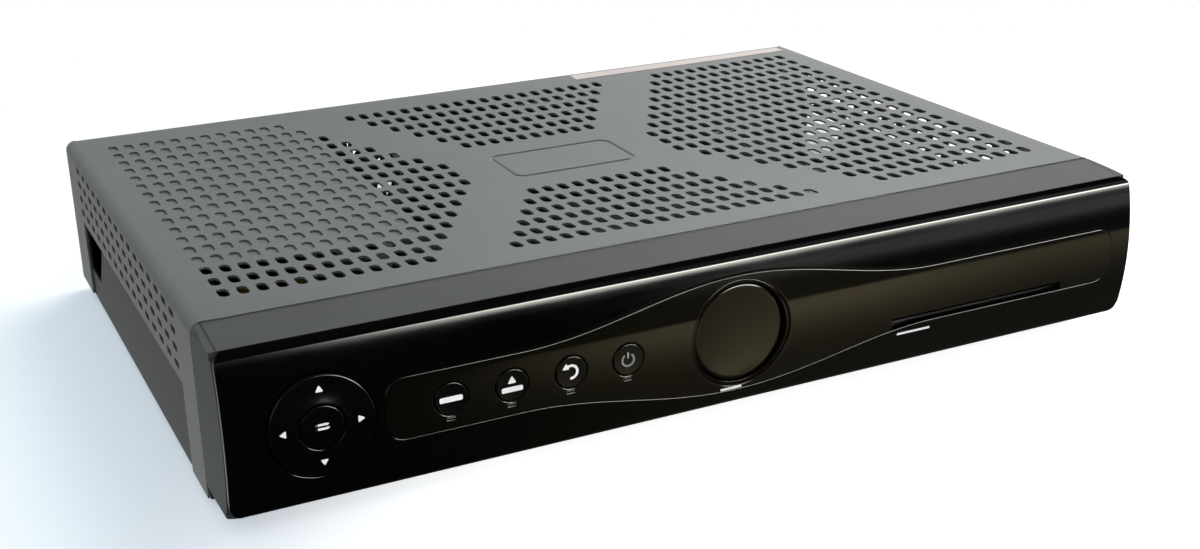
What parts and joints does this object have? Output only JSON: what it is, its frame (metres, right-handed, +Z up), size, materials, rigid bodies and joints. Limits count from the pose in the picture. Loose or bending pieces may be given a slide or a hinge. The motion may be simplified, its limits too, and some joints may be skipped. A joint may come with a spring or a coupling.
{
  "type": "cable television receiver",
  "caption": "Low steel-cased television receiver with a vented cover, gloss front, direction pad, round buttons, a light ring, a card slot and rear sockets.",
  "frame": {"origin": "under the middle of the overall box, on the surface that the feet stand on", "axes": "+Z up, the front with its controls faces -Y, +X to the right seen from the front"},
  "size_m": [0.364, 0.2638, 0.067],
  "materials": {
    "cover_steel": "satin",
    "tray_steel": "satin",
    "gloss_black": "gloss",
    "smoked_window": "gloss",
    "matt_grey": "matte",
    "ring_smoke": "gloss",
    "light_ring": "gloss",
    "key_black": "satin",
    "inner_plastic": "matte",
    "board_green": "satin",
    "board_tan": "matte",
    "chip_black": "matte",
    "socket_black": "matte",
    "bright_metal": "polished",
    "aluminium": "satin",
    "capacitor_sleeve": "satin",
    "transformer_core": "matte",
    "filter_parts": "satin",
    "drive_case": "satin",
    "rubber": "matte",
    "black_screws": "satin",
    "steel_screws": "satin",
    "clear_guide": "gloss",
    "lead_grey": "satin",
    "lead_red": "satin"
  },
  "bodies": {
    "case": {"top_cover": "cover_steel", "front_panel": "gloss_black", "window_lens": "smoked_window", "fascia": "matt_grey", "base_tray": "tray_steel", "rear_panel": "tray_steel", "blanking_sheet": "chip_black", "rubber_feet": "rubber", "cover_screws": "black_screws", "ring_light": "light_ring", "ring_disc": "ring_smoke", "dpad_carrier": "inner_plastic", "front_board": "board_green", "key_switches": "chip_black", "light_guides": "clear_guide", "indicator_leds": "inner_plastic", "infrared_receiver": "chip_black", "main_board": "board_green", "main_chips": "chip_black", "processor_heatsink": "aluminium", "board_capacitors": "capacitor_sleeve", "tuner_cans": "bright_metal", "card_reader": "socket_black", "dish_sockets": "bright_metal", "aerial_sockets": "bright_metal", "scart_sockets": "socket_black", "phono_sockets": "socket_black", "optical_socket": "socket_black", "hdmi_socket": "bright_metal", "usb_socket": "bright_metal", "network_socket": "bright_metal", "phone_socket": "socket_black", "mains_inlet": "socket_black", "power_board": "board_tan", "power_transformer": "transformer_core", "power_capacitors": "capacitor_sleeve", "power_heatsinks": "aluminium", "mains_filter": "filter_parts", "disc_drive": "drive_case", "drive_cradle": "tray_steel", "drive_grommets": "rubber", "drive_screws": "steel_screws", "fan_frame": "socket_black", "fan_screws": "black_screws", "board_screws": "steel_screws", "board_connectors": "inner_plastic", "front_ribbon": "lead_grey", "drive_leads": "lead_red", "power_lead": "lead_grey", "fan_lead": "lead_red"},
    "pad_gimbal": {"dpad_gimbal": "inner_plastic"},
    "pad": {"dpad_rocker": "key_black"},
    "select": {"select_key": "key_black"},
    "guide": {"guide_button": "key_black"},
    "menu": {"menu_button": "key_black"},
    "back": {"back_button": "key_black"},
    "standby": {"standby_button": "key_black"},
    "rotor": {"fan_rotor": "socket_black"}
  },
  "joints": [
    {"name": "pad_left_right", "type": "hinge", "parent": "case", "child": "pad_gimbal", "pos_m": [-0.15, -0.12181, 0.0361], "axis": [0, 0, 1], "range_deg": [-2, 2], "stiffness_Nm_per_rad": 0.3},
    {"name": "pad_up_down", "type": "hinge", "parent": "pad_gimbal", "child": "pad", "pos_m": [-0.15, -0.12181, 0.0361], "axis": [1, 0, 0], "range_deg": [-2, 2], "stiffness_Nm_per_rad": 0.3},
    {"name": "select_press", "type": "slide", "parent": "case", "child": "select", "axis": [0, 1, 0], "range_m": [0, 0.0008], "stiffness_N_per_m": 1500},
    {"name": "guide_press", "type": "slide", "parent": "case", "child": "guide", "axis": [0, 1, 0], "range_m": [0, 0.0008], "stiffness_N_per_m": 1500},
    {"name": "menu_press", "type": "slide", "parent": "case", "child": "menu", "axis": [0, 1, 0], "range_m": [0, 0.0008], "stiffness_N_per_m": 1500},
    {"name": "back_press", "type": "slide", "parent": "case", "child": "back", "axis": [0, 1, 0], "range_m": [0, 0.0008], "stiffness_N_per_m": 1500},
    {"name": "standby_press", "type": "slide", "parent": "case", "child": "standby", "axis": [0, 1, 0], "range_m": [0, 0.0008], "stiffness_N_per_m": 1500},
    {"name": "fan_spin", "type": "hinge", "parent": "case", "child": "rotor", "pos_m": [-0.059, 0.11315, 0.0328], "axis": [0, 1, 0], "continuous": true}
  ]
}
